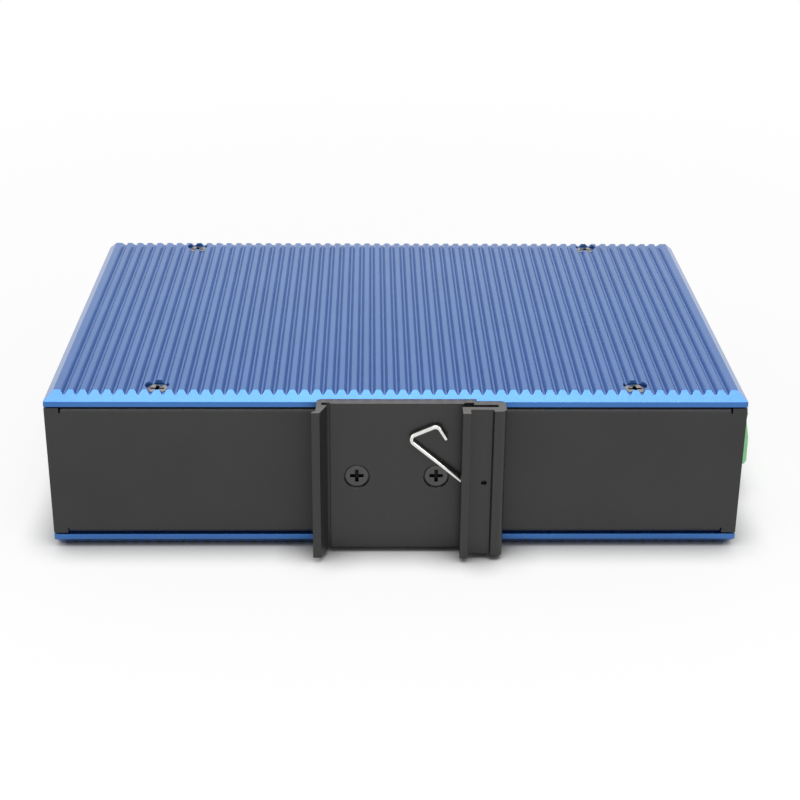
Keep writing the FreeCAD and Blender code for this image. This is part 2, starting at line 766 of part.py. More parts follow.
def bent_wire(label, points, radii, diameter):
    """A round wire along straight runs that tangent arcs join."""
    runs, start = [], points[0]
    for before, corner, after, radius in zip(points, points[1:], points[2:], radii):
        back, ahead = (before - corner).normalize(), (after - corner).normalize()
        half = back.getAngle(ahead) / 2
        reach = radius / math.tan(half)
        enter, leave = corner + back * reach, corner + ahead * reach
        inward = (back + ahead).normalize()
        middle = corner + inward * (radius / math.sin(half) - radius)
        runs += [Part.LineSegment(start, enter).toShape(), Part.Arc(enter, middle, leave).toShape()]
        start = leave
    runs.append(Part.LineSegment(start, points[-1]).toShape())
    circle = Part.Circle(points[0], points[1] - points[0], diameter / 2)
    solid = doc.addObject("Part::Feature", label)
    solid.Shape = Part.Wire(runs).makePipeShell([Part.Wire([circle.toShape()])], True, True)
    return keep(solid, label)


def rail_spring():
    slot_x = value("rail_wid") / 2 + value("mouth_play") + value("slot_len")
    anchor = slot_x - value("anchor_in")
    plane = -(value("box_dep") + value("slot_low") + value("slot_high")) / 2
    flap = -(value("box_dep") / 2 + value("slot_high") + value("flap_thk") - value("tail_in"))
    middle = value("cov_thk") + value("seat_ht") + value("wall_ht") / 2
    places = [FreeCAD.Vector(anchor, flap, middle), FreeCAD.Vector(anchor, plane, middle)]
    for word, side in (("elbow", -1), ("nose", 1), ("crown", 1), ("tip", 1)):
        x, z = anchor - value(word + "_x"), middle + side * value(word + "_z")
        places.append(FreeCAD.Vector(x, plane, z))
    bend = value("wire_bend")
    bent_wire("rail_spring", places, [value("tail_bend"), bend, bend, bend], value("wire_dia"))


rail_spring()


# Circuit board, its posts and its pan head screws

def pan_screw(name, length):
    """A pan head screw along Z, seated at z = 0."""
    return turned_body(name, [
        ("0", "pan_ht"), ("pan_dia/2-pan_edge", "pan_ht"),
        ("pan_dia/2", "pan_ht-pan_edge"), ("pan_dia/2", "0"),
        ("screw_dia/2", "0"), ("screw_dia/2", f"-{length}"), ("0", f"-{length}"),
    ])


POSTS = [(f"{i}{POST_X}", f"{j}{POST_Y}") for i in ("-", "") for j in ("-", "")]
PIN_Y = [f"({PLUG_Y[0]}+plug_end+{k + 0.5}*pole_pitch)" for k in range(int(value("pole_num")))]
PLUG_BACK = f"({HALF_X}-plug_back)"
TONGUE_END = f"({PLUG_BACK}-tongue_len)"
HEADER_X = (f"({PLUG_BACK}-plug_play-header_len)", f"({PLUG_BACK}-plug_play)")
PIN_Z = f"({BOARD_TOP}+header_wall+plug_play+tongue_ht/2)"
PIN_LEG = (f"({HEADER_X[0]}-0.5-pin_wid)", f"({HEADER_X[0]}-0.5)")


def circuit_board():
    body = keep(new_body("main_board"), "main_board")
    plan = new_sketch(body, "XY_Plane", BOARD_LOW)
    side, rear = f"({HALF_X}-sheet-board_in)", f"-({HALF_Y}-sheet-board_in)"
    draw_box(plan, ("-" + side, side), (rear, f"{PANEL_IN}-board_front"))
    add_pad(body, plan, "board_thk")
    holes = new_sketch(body, "XY_Plane", BOARD_TOP)
    for x, y in POSTS:
        draw_circle(holes, x, y, "hole_dia")
    for y in PIN_Y:
        draw_circle(holes, f"{PIN_LEG[0]}+pin_wid/2", y, "pin_wid*1.6")
    add_pocket(body, holes)
    post = hex_nut("board_post", "post_flats", "board_gap")
    copies("board_posts", post, [(x, y, f"{BASE}+sheet") for x, y in POSTS])
    screw = pan_screw("board_screw", "(board_gap+board_thk-0.2)")
    copies("board_screws", screw, [(x, y, BOARD_TOP) for x, y in POSTS])
    fixing = pan_screw("panel_screw", "panel_screw_len")
    cross_recess(fixing, "pan_ht")
    inward = FreeCAD.Rotation(FreeCAD.Vector(1, 0, 0), -90)
    copies("panel_screws", fixing, [(x, HALF_Y, z) for x, z in PANEL_SCREWS], inward)


circuit_board()


# Ports: stacked jacks and pluggable module cages, open through the front panel

def jack_stack(k):
    name = f"jack_stack_{k + 1}"
    low = jack_low_x(k)
    middle = f"({low}+jack_wid/2)"
    front = f"({HALF_Y}+jack_out)"
    shell = block(name + "_shell", (low, f"{low}+jack_wid"), (f"{front}-jack_dep", front), JACK_Z)
    ways = []
    deep = (f"{front}-port_dep", f"{front}+past")
    for part, floor, roof, latch in (
        ("lower", f"{JACK_Z[0]}+port_low", f"{JACK_Z[0]}+port_low+port_ht", f"{JACK_Z[0]}+port_low-latch_ht"),
        ("upper", f"{JACK_Z[1]}-port_low-port_ht", f"{JACK_Z[1]}-port_low", f"{JACK_Z[1]}-port_low-0.5"),
    ):
        mouth = (f"{middle}-port_wid/2", f"{middle}+port_wid/2")
        ways.append(block(f"{name}_{part}", mouth, deep, (floor, roof)))
        tab = (f"{middle}-latch_wid/2", f"{middle}+latch_wid/2")
        ways.append(block(f"{name}_{part}_latch", tab, deep, (latch, f"{latch}+latch_ht+past/2")))
    keep(cut(name, shell, ways), name)


def module_cage(k):
    name = f"module_cage_{k + 1}"
    low = cage_low_x(k)
    front = f"({HALF_Y}+jack_out)"
    back = f"({front}-cage_dep)"
    shell = block(name + "_shell", (low, f"{low}+cage_wid"), (back, front), CAGE_Z)
    hollow = block(name + "_hollow", (f"{low}+cage_wall", f"{low}+cage_wid-cage_wall"),
                   (f"{back}+cage_wall", f"{front}+past"),
                   (f"{CAGE_Z[0]}+cage_wall", f"{CAGE_Z[1]}-cage_wall"))
    keep(cut(name, shell, [hollow]), name)


for k in range(int(value("jack_num"))):
    jack_stack(k)
for k in range(int(value("cage_num"))):
    module_cage(k)


def light_pipes():
    pipe = rod("light_pipe", "0", "0", ("0", "light_len"), "light_dia")
    places = []
    for k in range(int(value("light_num"))):
        places.append((LIGHT_X, f"{HALF_Y}+light_out", f"{MID}+({k}-(light_num-1)/2)*light_pitch"))
    copies("light_pipes", pipe, places, outward)


light_pipes()


# Heat path, power parts

def board_parts():
    def square(label, x, y, width, zs):
        half = f"({width})/2"
        keep(block(label, (f"{x}-{half}", f"{x}+{half}"), (f"{y}-{half}", f"{y}+{half}"), zs), label)

    chip_low = f"({BOARD_LOW}-chip_thk)"
    chip_y = f"(chip_rear-{HALF_Y})"
    square("switch_chip", "chip_x", chip_y, "chip_wid", (chip_low, BOARD_LOW))
    square("thermal_pad", "chip_x", chip_y, "pad_wid", (BASE, chip_low))
    cpu_top = f"({BOARD_TOP}+cpu_thk)"
    cpu_y = f"(cpu_rear-{HALF_Y})"
    square("cpu_chip", "cpu_x", cpu_y, "cpu_wid", (BOARD_TOP, cpu_top))
    square("cpu_pad", "cpu_x", cpu_y, "cpu_wid", (cpu_top, f"{cpu_top}+cpu_pad"))
    square("heat_block", "cpu_x", cpu_y, "block_wid", (f"{cpu_top}+cpu_pad", f"{BASE}+wall_ht"))
    coil_y = f"(coil_rear-{HALF_Y})"
    square("power_coil", "coil_x", coil_y, "coil_wid", (BOARD_TOP, f"{BOARD_TOP}+coil_ht"))
    can = rod("capacitor", "0", "0", ("0", "cap_ht"), "cap_dia")
    copies("capacitors", can, [("cap_x", f"cap_rear+{k}*cap_pitch-{HALF_Y}", BOARD_TOP) for k in range(2)])


board_parts()


# Power terminal: board half with pins, and the plug that slides into it

CLAMP_X = f"({HALF_X}+plug_out-clamp_in)"
BAR_Z = (f"({PIN_Z}-bar_thk/2)", f"({PIN_Z}+bar_thk/2)")
CAGE_LOW = f"({BAR_Z[0]}-clamp_play-cage_floor)"
WELL_Z = (f"({CAGE_LOW}-cage_travel-clamp_play)", f"({CAGE_LOW}+cage_tall+clamp_play)")
HEAD_LOW = f"({WELL_Z[1]}+shoulder)"


def about(middle, width):
    return (f"{middle}-({width})/2", f"{middle}+({width})/2")


def terminal_header():
    body_z = (BOARD_TOP, f"({BOARD_TOP}+2*(header_wall+plug_play)+tongue_ht)")
    shroud = block("header_shroud", HEADER_X, PLUG_Y, body_z)
    inside = block("header_inside", (f"{TONGUE_END}-0.5", f"{HALF_X}"),
                   (f"{PLUG_Y[0]}+header_wall", f"{PLUG_Y[1]}-header_wall"),
                   (f"{body_z[0]}+header_wall", f"{body_z[1]}-header_wall"))
    tools, pins = [inside], []
    for k, y in enumerate(PIN_Y):
        name = f"header_pin_{k + 1}"
        across = about(y, "pin_wid")
        reach = (PIN_LEG[0], f"{TONGUE_END}+pin_len")
        tools.append(block(name + "_hole", reach, across, about(PIN_Z, "pin_wid")))
        bar = block(name + "_bar", reach, across, about(PIN_Z, "pin_wid"))
        leg = block(name + "_leg", PIN_LEG, across, (f"{BOARD_LOW}-past", PIN_Z))
        pins.append(fuse(name, [bar, leg]))
    keep(cut("terminal_header", shroud, tools), "terminal_header")
    group("header_pins", pins)


def terminal_plug():
    body = new_body("plug_body")
    profile = new_sketch(body, "XZ_Plane", f"-{PLUG_Y[1]}")
    top = PLUG_Z[1]
    face = f"({HALF_X}+plug_out)"
    draw_polygon(profile, [
        (PLUG_BACK, PLUG_Z[0]), (f"{face}-plug_foot", PLUG_Z[0]), (face, f"{PLUG_Z[0]}+2*plug_foot"),
        (f"{face}-plug_lean", f"{top}-plug_slope_ht"), (f"{face}-plug_waist", f"{top}-plug_waist_ht"),
        (f"{face}-plug_brow", f"{top}-plug_brow_ht"), (f"{face}-plug_crown", top), (PLUG_BACK, top),
    ])
    add_pad(body, profile, f"{PLUG_Y[1]}-({PLUG_Y[0]})")
    tongue = block("plug_tongue", (TONGUE_END, PLUG_BACK),
                   (f"{PLUG_Y[0]}+header_wall+plug_play", f"{PLUG_Y[1]}-header_wall-plug_play"),
                   about(PIN_Z, "tongue_ht"))
    tools = []
    for k, y in enumerate(PIN_Y):
        name = f"pole_{k + 1}"
        well = about(CLAMP_X, "cage_len+2*clamp_play")
        tools += [
            block(name + "_well", well, about(y, "cage_side+2*clamp_play"), WELL_Z),
            block(name + "_entry", (CLAMP_X, f"{face}+past"), about(y, "entry_wid"),
                  (f"{WELL_Z[0]}+entry_low", f"{WELL_Z[0]}+entry_low+entry_ht")),
            block(name + "_funnel", (f"{face}-past", f"{face}+past"), about(y, "entry_wid+2*funnel"),
                  (f"{WELL_Z[0]}+entry_low-funnel", f"{WELL_Z[0]}+entry_low+entry_ht+funnel")),
            block(name + "_socket", (f"{TONGUE_END}-past", f"{PLUG_BACK}-0.6"), about(y, "socket_wid+0.2"),
                  about(PIN_Z, "socket_wid+0.2")),
            block(name + "_slit", (f"{PLUG_BACK}-past", CLAMP_X), about(y, "bar_strip+0.2"),
                  about(PIN_Z, "bar_thk+0.2")),
            rod(name + "_shank", CLAMP_X, y, (f"{WELL_Z[1]}-past", top), "clamp_dia+0.3"),
            rod(name + "_head", CLAMP_X, y, (HEAD_LOW, f"{top}+past"), "clamp_head_dia+2*clamp_play"),
        ]
    keep(cut("terminal_plug", fuse("plug_blank", [body, tongue]), tools), "terminal_plug")


def plug_contacts():
    contacts = []
    for k, y in enumerate(PIN_Y):
        name = f"contact_{k + 1}"
        sleeve = (f"{TONGUE_END}+0.2", f"{PLUG_BACK}-0.8")
        tube = block(name + "_tube", sleeve, about(y, "socket_wid"), about(PIN_Z, "socket_wid"))
        strip = block(name + "_strip", (f"{PLUG_BACK}-0.8", f"{CLAMP_X}+cage_len/2-0.2"),
                      about(y, "bar_strip"), about(PIN_Z, "bar_thk"))
        bore = block(name + "_bore", (f"{TONGUE_END}-past", f"{PLUG_BACK}-1.4"), about(y, "socket_bore"),
                     about(PIN_Z, "socket_bore"))
        contacts.append(cut(name, fuse(name + "_blank", [tube, strip]), [bore]))
    group("plug_contacts", contacts)


def wire_clamp(k, y):
    """Cage that a screw raises to press the wire against the contact, and that screw."""
    cage = f"clamp_cage_{k + 1}"
    outer = block(cage + "_outer", about(CLAMP_X, "cage_len"), about(y, "cage_side"),
                  (CAGE_LOW, f"{CAGE_LOW}+cage_tall"))
    window = block(cage + "_window", about(CLAMP_X, "cage_len+2"), about(y, "cage_side-2*clamp_wall"),
                   (f"{CAGE_LOW}+cage_floor", f"{CAGE_LOW}+cage_tall-cage_top"))
    bore = rod(cage + "_bore", CLAMP_X, y, (f"{CAGE_LOW}+cage_floor+1", f"{CAGE_LOW}+cage_tall+past"),
               "clamp_dia+2*thread_play")
    keep(cut(cage, outer, [window, bore]), cage)
    screw = f"clamp_screw_{k + 1}"
    head_top = f"({HEAD_LOW}+thread_play+clamp_head_ht)"
    shank = rod(screw + "_shank", CLAMP_X, y, (f"{BAR_Z[1]}+0.1", f"{HEAD_LOW}+thread_play+0.1"), "clamp_dia")
    head = rod(screw + "_head", CLAMP_X, y, (f"{HEAD_LOW}+thread_play", head_top), "clamp_head_dia")
    slot = block(screw + "_slot", about(CLAMP_X, "clamp_slot"), about(y, "clamp_head_dia+past"),
                 (f"{head_top}-clamp_slot_dep", f"{head_top}+past"))
    keep(cut(screw, fuse(screw + "_blank", [shank, head]), [slot]), screw)


terminal_header()
terminal_plug()
plug_contacts()
for k, y in enumerate(PIN_Y):
    wire_clamp(k, y)


def write_parts():
    """Checks every object, then writes each sub-part."""
    doc.recompute()
    failed = [item.Label for item in doc.Objects if {"Invalid", "Error"} & set(item.State)]
    if failed:
        raise SystemExit(f"failed: {failed}")
    for thing in doc.Objects:
        if thing.TypeId == "PartDesign::Pocket" and thing.BaseFeature is not None:
            if thing.Shape.Volume > thing.BaseFeature.Shape.Volume - 1e-4:
                raise SystemExit(f"{thing.Label} cuts nothing")
    os.makedirs("parts", exist_ok=True)
    for thing in nodes:
        shape = thing.Shape
        if shape.isNull() or not shape.isValid() or not shape.Solids:
            raise SystemExit(f"{thing.Label} has no valid shape")
        shape.exportStep(f"parts/{thing.Label}.step")
        print(thing.Label, len(shape.Solids), round(shape.Volume, 1))


write_parts()
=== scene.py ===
# Looks of the DIN rail ethernet switch: materials, fine pieces in the ports, stage, lamps and camera.
# Lengths written here are in millimetres, apart from the lamps' places and sizes, which are in metres.
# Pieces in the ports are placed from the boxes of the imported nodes.
import json
import math

import bmesh
import bpy
from mathutils import Matrix, Vector


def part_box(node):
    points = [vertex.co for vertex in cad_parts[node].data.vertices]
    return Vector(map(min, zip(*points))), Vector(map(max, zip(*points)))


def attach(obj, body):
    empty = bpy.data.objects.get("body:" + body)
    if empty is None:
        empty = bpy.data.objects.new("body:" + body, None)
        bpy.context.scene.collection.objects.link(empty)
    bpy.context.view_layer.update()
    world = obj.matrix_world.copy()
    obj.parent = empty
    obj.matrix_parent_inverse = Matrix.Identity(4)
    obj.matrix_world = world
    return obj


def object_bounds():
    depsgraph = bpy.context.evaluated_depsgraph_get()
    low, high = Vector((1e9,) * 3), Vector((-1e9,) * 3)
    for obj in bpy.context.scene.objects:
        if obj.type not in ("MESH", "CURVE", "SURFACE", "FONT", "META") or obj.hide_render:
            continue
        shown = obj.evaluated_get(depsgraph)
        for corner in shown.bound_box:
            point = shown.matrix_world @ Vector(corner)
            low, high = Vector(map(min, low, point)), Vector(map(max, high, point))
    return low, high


MM = 0.001
AXIS_X, AXIS_Y, AXIS_Z = 0, 1, 2
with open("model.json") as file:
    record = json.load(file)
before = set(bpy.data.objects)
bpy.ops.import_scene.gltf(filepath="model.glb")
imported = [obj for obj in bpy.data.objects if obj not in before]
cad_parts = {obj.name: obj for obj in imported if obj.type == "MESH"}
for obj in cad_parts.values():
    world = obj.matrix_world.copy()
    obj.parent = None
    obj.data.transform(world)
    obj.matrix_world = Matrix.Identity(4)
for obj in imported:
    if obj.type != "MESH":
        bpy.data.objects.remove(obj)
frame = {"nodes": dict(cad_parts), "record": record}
cad_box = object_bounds()
nodes = frame["nodes"]


def box_of(name):
    """The lowest and the highest corner of a node at rest, in millimetres."""
    return [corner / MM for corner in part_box(name)]


def colour(red, green, blue):
    return (red, green, blue, 1.0)


# Node graphs


class Wire:
    """An output of a node, with arithmetic that adds Math nodes."""

    def __init__(self, graph, socket):
        self.graph = graph
        self.socket = socket

    def _math(self, operation, *values):
        return self.graph.add("ShaderNodeMath", dict(enumerate(values)), operation=operation)

    def __add__(self, other):
        return self._math("ADD", self, other)

    __radd__ = __add__

    def __sub__(self, other):
        return self._math("SUBTRACT", self, other)

    def __rsub__(self, other):
        return self._math("SUBTRACT", other, self)

    def __mul__(self, other):
        return self._math("MULTIPLY", self, other)

    __rmul__ = __mul__

    def __abs__(self):
        return self._math("ABSOLUTE", self)

    def __gt__(self, other):
        return self._math("GREATER_THAN", self, other)

    def __lt__(self, other):
        return self._math("LESS_THAN", self, other)

    def larger(self, other):
        return self._math("MAXIMUM", self, other)

    def wrapped(self, period):
        """The distance to the nearest multiple of the period, with its sign."""
        return self._math("WRAP", self, period / 2, -period / 2)


class Graph:
    """The node tree of a material or of the world, with constants for the shader's own sockets."""

    def __init__(self, owner, **constants):
        owner.use_nodes = True
        self.owner = owner
        self.tree = owner.node_tree
        self.shader = self.tree.nodes.get("Principled BSDF")
        self.vary(**constants)

    def add(self, kind, inputs=None, output=0, **settings):
        """Adds a node, sets it up, fills its sockets and gives one of its outputs."""
        node = self.tree.nodes.new(kind)
        for word, value in settings.items():
            setattr(node, word, value)
        for word, value in (inputs or {}).items():
            self.put(node.inputs[word], value)
        return Wire(self, node.outputs[output])

    def put(self, socket, value):
        if isinstance(value, Wire):
            self.tree.links.new(value.socket, socket)
        else:
            socket.default_value = value

    def vary(self, **inputs):
        """Sets or links sockets of the shader, named with _ for a space."""
        for word, value in inputs.items():
            self.put(self.shader.inputs[word.replace("_", " ")], value)

    def place(self, stretch=(1, 1, 1)):
        """The point on the surface, in millimetres, with each axis stretched."""
        point = self.add("ShaderNodeTexCoord", output="Object")
        factor = Vector(stretch) / MM
        return self.add("ShaderNodeVectorMath", {0: point, 1: factor}, operation="MULTIPLY")

    def component(self, vector, axis):
        return self.add("ShaderNodeSeparateXYZ", {0: vector}, output=axis)

    def along(self, axis):
        """The point's place along one axis of the part, in millimetres."""
        return self.component(self.place(), axis)

    def facing(self, axis):
        """How much the surface faces along one axis of the part, from -1 to 1."""
        return self.component(self.add("ShaderNodeTexCoord", output="Normal"), axis)

    def noise(self, size, detail=3.0, stretch=(1, 1, 1), roughness=0.5):
        """Smooth noise whose grains are about one size."""
        inputs = {"Vector": self.place(stretch), "Scale": 1 / size, "Detail": detail, "Roughness": roughness}
        return self.add("ShaderNodeTexNoise", inputs)

    def spread(self, value, low=0.0, high=1.0, start=0.3, end=0.7):
        """Maps a varying value from start..end to low..high."""
        inputs = {"Value": value, "From Min": start, "From Max": end, "To Min": low, "To Max": high}
        return self.add("ShaderNodeMapRange", inputs)

    def blend(self, factor, first, second):
        """A colour between two, where 6 and 7 are the colour sockets of a Mix node."""
        inputs = {"Factor": factor, 6: first, 7: second}
        return self.add("ShaderNodeMix", inputs, output=2, data_type="RGBA")

    def bump(self, height, depth, radius=0.0):
        """A bump of some depth, over edges that look rounded by the radius."""
        inputs = {"Height": height, "Distance": depth * MM, "Strength": 1.0}
        if radius:
            inputs["Normal"] = self.add("ShaderNodeBevel", {"Radius": radius * MM}, samples=4)
        return self.add("ShaderNodeBump", inputs)


def material_graph(name, **constants):
    return Graph(bpy.data.materials.new(name), **constants)


# Materials

MAIN_SHARE, MINOR_SHARE = 0.6, 0.4
END_FACING, EDGE_FACING = 0.9, 0.5
SAWN_METAL = 0.7
PLATED_GRAIN, PLATED_DEPTH, PLATED_EDGE = 0.15, 0.004, 0.08
# Depths in millimetres below a screw head's top over which the painted shade fades in.
RECESS_SHADE_START, RECESS_SHADE_END = 0.04, 0.35
HOLE_SHADE_LENGTH = 0.5
MOULD_DARKER, MOULD_EDGE = 0.88, 0.12
MOULD_SMOOTHER, MOULD_ROUGHER = 0.06, 0.08
TRACK_PITCH, TRACK_HALF, TRACK_SWAY = 0.9, 0.22, 6.0
WEAVE_SHARE = 0.3
JACK_RIM = 0.45
LENS_PALER = 1.25
SCREW_GREYS = colour(0.26, 0.245, 0.23), colour(0.40, 0.38, 0.36)
BLACK_GREYS = colour(0.065, 0.065, 0.065), colour(0.105, 0.105, 0.105)


def blue_anodised():
    """Bead blasted, dyed aluminium under its clear oxide."""
    graph = material_graph("blue_anodised", Metallic=1.0,
                           Coat_Weight=0.75, Coat_Roughness=0.24, Coat_IOR=1.46)
    grain = graph.noise(size=0.22, detail=4.0, roughness=0.7)
    cloud = graph.noise(size=14.0, detail=2.0)
    tone = graph.spread(grain * MAIN_SHARE + cloud * MINOR_SHARE)
    deep, light = colour(0.029, 0.139, 0.420), colour(0.045, 0.177, 0.495)
    graph.vary(Base_Color=graph.blend(tone, deep, light),
               Roughness=graph.spread(grain, low=0.34, high=0.46),
               Normal=graph.bump(grain, depth=0.012, radius=0.12))
    return graph.owner


def powder_coat():
    """Fine textured black powder coat."""
    graph = material_graph("black_powder_coat")
    peel = graph.noise(size=0.32, roughness=0.6)
    cloud = graph.noise(size=26.0, detail=2.0)
    deep, light = colour(0.011, 0.011, 0.011), colour(0.016, 0.016, 0.016)
    graph.vary(Base_Color=graph.blend(graph.spread(cloud), deep, light),
               Roughness=graph.spread(peel, low=0.36, high=0.5),
               Normal=graph.bump(peel, depth=0.03, radius=0.15))
    return graph.owner


def black_anodised():
    """Black anodised extrusion: faint die lines along Z and paler sawn ends."""
    graph = material_graph("black_anodised", Specular_IOR_Level=0.55)
    lines = graph.noise(size=0.18, stretch=(1, 1, 0.01), roughness=0.7)
    saw = graph.noise(size=0.14, stretch=(0.04, 1, 1), roughness=0.7)
    sawn = abs(graph.facing(AXIS_Z)) > END_FACING
    body = graph.blend(graph.spread(lines), colour(0.009, 0.009, 0.010), colour(0.016, 0.015, 0.016))
    ends = graph.blend(graph.spread(saw), colour(0.10, 0.094, 0.088), colour(0.19, 0.18, 0.168))
    relief = lines + sawn * (saw - lines)
    graph.vary(Base_Color=graph.blend(sawn, body, ends),
               Metallic=sawn * SAWN_METAL,
               Roughness=graph.spread(relief, low=0.28, high=0.42),
               Normal=graph.bump(relief, depth=0.008, radius=0.25))
    return graph.owner


def plated(name, low, high, smooth, rough, stretch=(1, 1, 1)):
    """A plated or bare metal between two colours and two roughnesses."""
    graph = material_graph(name, Metallic=1.0)
    fine = graph.noise(size=PLATED_GRAIN, stretch=stretch, roughness=0.6)
    cloud = graph.noise(size=3.0, detail=2.0)
    tone = graph.spread(cloud * MAIN_SHARE + fine * MINOR_SHARE)
    graph.vary(Base_Color=graph.blend(tone, low, high),
               Roughness=graph.spread(fine, smooth, rough),
               Normal=graph.bump(fine, PLATED_DEPTH, PLATED_EDGE))
    return graph.owner


def screw_finish_with_painted_shade(name, node, axis, sign, low, high, smooth, rough):
    """Plated screws with a cross in the head; below the top of the head the colour is painted near black, as
    shade in the cross.
    """
    graph = material_graph(name, Metallic=1.0)
    fine = graph.noise(size=PLATED_GRAIN, roughness=0.6)
    lowest, highest = box_of(node)
    top = highest[axis] if sign > 0 else lowest[axis]
    depth = (top - graph.along(axis)) * sign
    # Painted shade: below the top of the head the colour turns near black, standing in for the shade in the
    # cross of the head.
    painted_recess_shade = graph.spread(depth, start=RECESS_SHADE_START, end=RECESS_SHADE_END)
    face = graph.blend(graph.spread(fine), low, high)
    graph.vary(Base_Color=graph.blend(painted_recess_shade, face, colour(0.012, 0.011, 0.011)),
               Roughness=graph.spread(fine, smooth, rough),
               Normal=graph.bump(fine, PLATED_DEPTH, PLATED_EDGE))
    return graph.owner


def spring_steel():
    """Bright drawn wire whose cut end, in the clip's hole, is painted near black as shade over its last half
    millimetre.
    """
    graph = material_graph("spring_steel", Metallic=1.0)
    drawn = graph.noise(size=0.12, stretch=(0.2, 1, 0.2), roughness=0.6)
    tail = box_of("rail_spring")[0].y
    # Painted shade: the wire's last half millimetre, inside the clip's hole, is coloured near black.
    painted_hole_shade = graph.along(AXIS_Y) < tail + HOLE_SHADE_LENGTH
    bright = graph.blend(graph.spread(drawn), colour(0.66, 0.65, 0.63), colour(0.86, 0.85, 0.82))
    graph.vary(Base_Color=graph.blend(painted_hole_shade, bright, colour(0.02, 0.019, 0.018)),
               Roughness=graph.spread(drawn, low=0.08, high=0.18),
               Normal=graph.bump(drawn, depth=0.002))
    return graph.owner


def moulded(name, base, rough, texture=0.25, depth=0.01):
    """A moulded plastic or soft pad with a fine mould texture."""
    graph = material_graph(name)
    fine = graph.noise(size=texture)
    cloud = graph.noise(size=6.0, detail=2.0)
    darker = colour(*(MOULD_DARKER * part for part in base))
    graph.vary(Base_Color=graph.blend(graph.spread(cloud), darker, colour(*base)),
               Roughness=graph.spread(fine, rough - MOULD_SMOOTHER, rough + MOULD_ROUGHER),
               Normal=graph.bump(fine, depth, MOULD_EDGE))
    return graph.owner


def board_laminate():
    """Green solder mask over tracks, with bare laminate on the cut edges."""
    graph = material_graph("board_laminate", Coat_Weight=0.4, Coat_Roughness=0.2)
    sway = graph.noise(size=9.0, detail=0.0)
    track = abs((graph.along(AXIS_X) + sway * TRACK_SWAY).wrapped(TRACK_PITCH)) < TRACK_HALF
    mask = graph.blend(track, colour(0.012, 0.085, 0.035), colour(0.022, 0.15, 0.06))
    edge = abs(graph.facing(AXIS_Z)) < EDGE_FACING
    weave = graph.noise(size=0.3, detail=2.0)
    graph.vary(Base_Color=graph.blend(edge, mask, colour(0.36, 0.34, 0.16)),
               Roughness=graph.spread(weave, low=0.28, high=0.42),
               Normal=graph.bump(track + weave * WEAVE_SHARE, depth=0.02))
    return graph.owner


def jack_body(name, node):
    """Plated shield outside, black moulding within its rim."""
    graph = material_graph(name)
    low, high = box_of(node)
    middle, reach = (low + high) / 2, (high - low) / 2
    across = abs(graph.along(AXIS_X) - middle.x) < reach.x - JACK_RIM
    upright = abs(graph.along(AXIS_Z) - middle.z) < reach.z - JACK_RIM
    within = across * upright
    brushed = graph.noise(size=0.2, stretch=(1, 0.06, 1))
    shield = graph.blend(graph.spread(brushed), colour(0.50, 0.49, 0.46), colour(0.66, 0.65, 0.62))
    graph.vary(Base_Color=graph.blend(within, shield, colour(0.016, 0.016, 0.017)),
               Metallic=1.0 - within,
               Roughness=graph.spread(brushed, low=0.3, high=0.42),
               Normal=graph.bump(brushed, depth=0.006, radius=0.1))
    return graph.owner


def light_pipe():
    """Clear moulded rod, lightly frosted at its end."""
    graph = material_graph("light_pipe", Transmission_Weight=0.75, IOR=1.49)
    frost = graph.noise(size=0.9, detail=1.0)
    graph.vary(Base_Color=graph.blend(frost, colour(0.80, 0.84, 0.80), colour(0.9, 0.93, 0.9)),
               Roughness=graph.spread(frost, low=0.2, high=0.3),
               Normal=graph.bump(frost, depth=0.004, radius=0.15))
    return graph.owner


def lens(name, base):
    """A tinted status window, unlit."""
    graph = material_graph(name, Transmission_Weight=0.35, IOR=1.49, Coat_Weight=0.5, Coat_Roughness=0.1)
    frost = graph.noise(size=0.9, detail=1.0)
    pale = colour(*(min(1.0, part * LENS_PALER) for part in base))
    graph.vary(Base_Color=graph.blend(frost, colour(*base), pale),
               Roughness=graph.spread(frost, low=0.22, high=0.32),
               Normal=graph.bump(frost, depth=0.004))
    return graph.owner


gold = plated("gold_contact", colour(0.75, 0.50, 0.16), colour(0.90, 0.64, 0.25), 0.18, 0.28)
amber = lens("amber_lens", (0.46, 0.30, 0.10))
lime = lens("lime_lens", (0.22, 0.36, 0.16))
finishes = {
    "blue_anodised": blue_anodised(),
    "black_powder_coat": powder_coat(),
    "black_anodised": black_anodised(),
    "zinc_steel": plated("zinc_steel", colour(0.34, 0.32, 0.30), colour(0.50, 0.48, 0.45), 0.24, 0.36),
    "brass": plated("brass", colour(0.62, 0.42, 0.16), colour(0.78, 0.56, 0.26), 0.24, 0.36),
    "spring_steel": spring_steel(),
    "board_laminate": board_laminate(),
    "cage_steel": plated("cage_steel", colour(0.48, 0.48, 0.46), colour(0.64, 0.64, 0.61), 0.28, 0.42,
                         stretch=(1, 0.08, 1)),
    "light_pipe": light_pipe(),
    "black_moulding": moulded("black_moulding", (0.016, 0.016, 0.017), 0.48),
    "thermal_pad": moulded("thermal_pad", (0.30, 0.34, 0.42), 0.7, texture=0.5, depth=0.03),
    "plain_aluminium": plated("plain_aluminium", colour(0.62, 0.62, 0.63), colour(0.76, 0.76, 0.77),
                              0.3, 0.44, stretch=(0.08, 1, 1)),
    "green_plastic": moulded("green_plastic", (0.290, 0.690, 0.330), 0.4),
    "tinned_contact": plated("tinned_contact", colour(0.60, 0.58, 0.54), colour(0.78, 0.76, 0.71),
                             0.22, 0.34),
    "clamp_steel": plated("clamp_steel", colour(0.52, 0.50, 0.44), colour(0.70, 0.68, 0.60), 0.26, 0.38),
}
